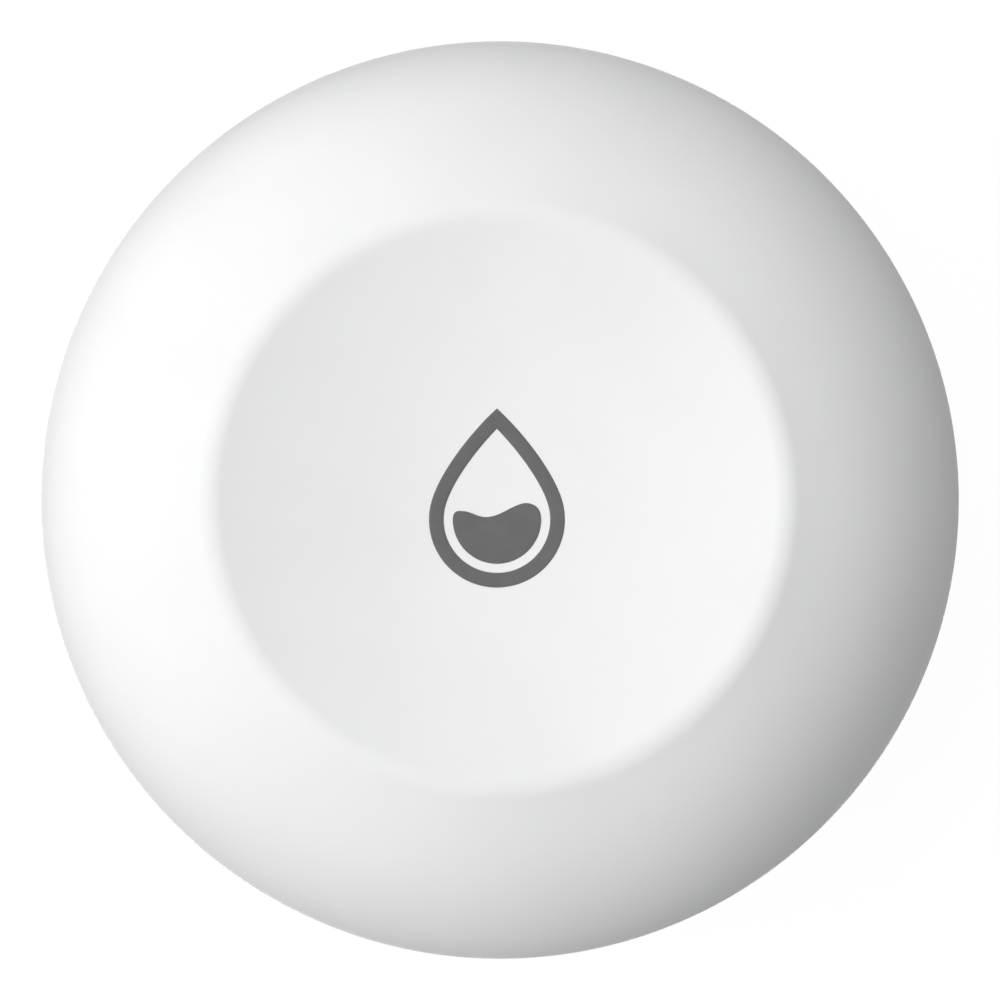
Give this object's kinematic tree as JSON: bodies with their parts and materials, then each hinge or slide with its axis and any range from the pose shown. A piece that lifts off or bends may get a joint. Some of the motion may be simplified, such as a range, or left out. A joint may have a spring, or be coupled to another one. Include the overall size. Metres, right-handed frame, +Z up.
{
  "type": "water leak sensor",
  "caption": "Round floor water leak sensor with a dished press-to-pair top, metal probes underneath and a coin-cell battery behind a bayonet cover.",
  "frame": {"origin": "centre of the underside, at the floor that the feet stand on", "axes": "+Z up through the dished top, +X through the right-hand water probe"},
  "size_m": [0.05, 0.05, 0.015],
  "materials": {
    "shell_plastic": "satin",
    "base_plastic": "satin",
    "silicone": "matte",
    "board_laminate": "solder mask",
    "screw_steel": "zinc plated",
    "probe_steel": "polished",
    "contact_metal": "gold plated",
    "cell_steel": "satin",
    "cell_insulation": "matte",
    "switch_plastic": "matte",
    "switch_steel": "stamped",
    "chip_resin": "matte",
    "crystal_lid": "plated",
    "capacitor_resin": "matte",
    "led_resin": "gloss",
    "passive_ceramic": "matte"
  },
  "bodies": {
    "base": {"base_housing": "base_plastic", "shell_seal": "silicone", "probe_seals": "silicone", "circuit_board": "board_laminate", "board_screws": "screw_steel", "probe_right": "probe_steel", "probe_left": "probe_steel", "probe_contacts": "contact_metal", "negative_contact": "contact_metal", "positive_contact": "contact_metal", "switch_base": "switch_plastic", "switch_cover": "switch_steel", "switch_dome": "switch_steel", "radio_chip": "chip_resin", "crystal": "crystal_lid", "bulk_capacitor": "capacitor_resin", "status_led": "led_resin", "chip_passives": "passive_ceramic"},
    "top_shell": {"top_shell": "shell_plastic"},
    "switch_plunger": {"switch_plunger": "switch_plastic"},
    "coin_cell": {"coin_cell_can": "cell_steel", "coin_cell_cap": "cell_steel", "coin_cell_seal": "cell_insulation"},
    "cover_seal": {"cover_seal": "silicone"},
    "battery_cover": {"battery_cover": "base_plastic"}
  },
  "joints": [
    {"name": "shell_press", "type": "slide", "parent": "base", "child": "top_shell", "axis": [0, 0, -1], "range_m": [0, 0.00025], "stiffness_N_per_m": 2000, "springref_m": -0.0003},
    {"name": "plunger_press", "type": "slide", "parent": "base", "child": "switch_plunger", "axis": [0, 0, -1], "range_m": [0, 0.00025], "deforming": ["switch_dome"]},
    {"name": "cell_slide", "type": "slide", "parent": "base", "child": "coin_cell", "axis": [0, 0, -1], "range_m": [0, 0.024]},
    {"name": "cover_slide", "type": "slide", "parent": "coin_cell", "child": "cover_seal", "axis": [0, 0, -1], "range_m": [0, 0.024]},
    {"name": "cover_turn", "type": "hinge", "parent": "cover_seal", "child": "battery_cover", "pos_m": [0, 0, 0], "axis": [0, 0, -1], "range_deg": [0, 40]}
  ],
  "couplings": [
    {"joint": "plunger_press", "follows": "shell_press", "ratio": 1}
  ]
}
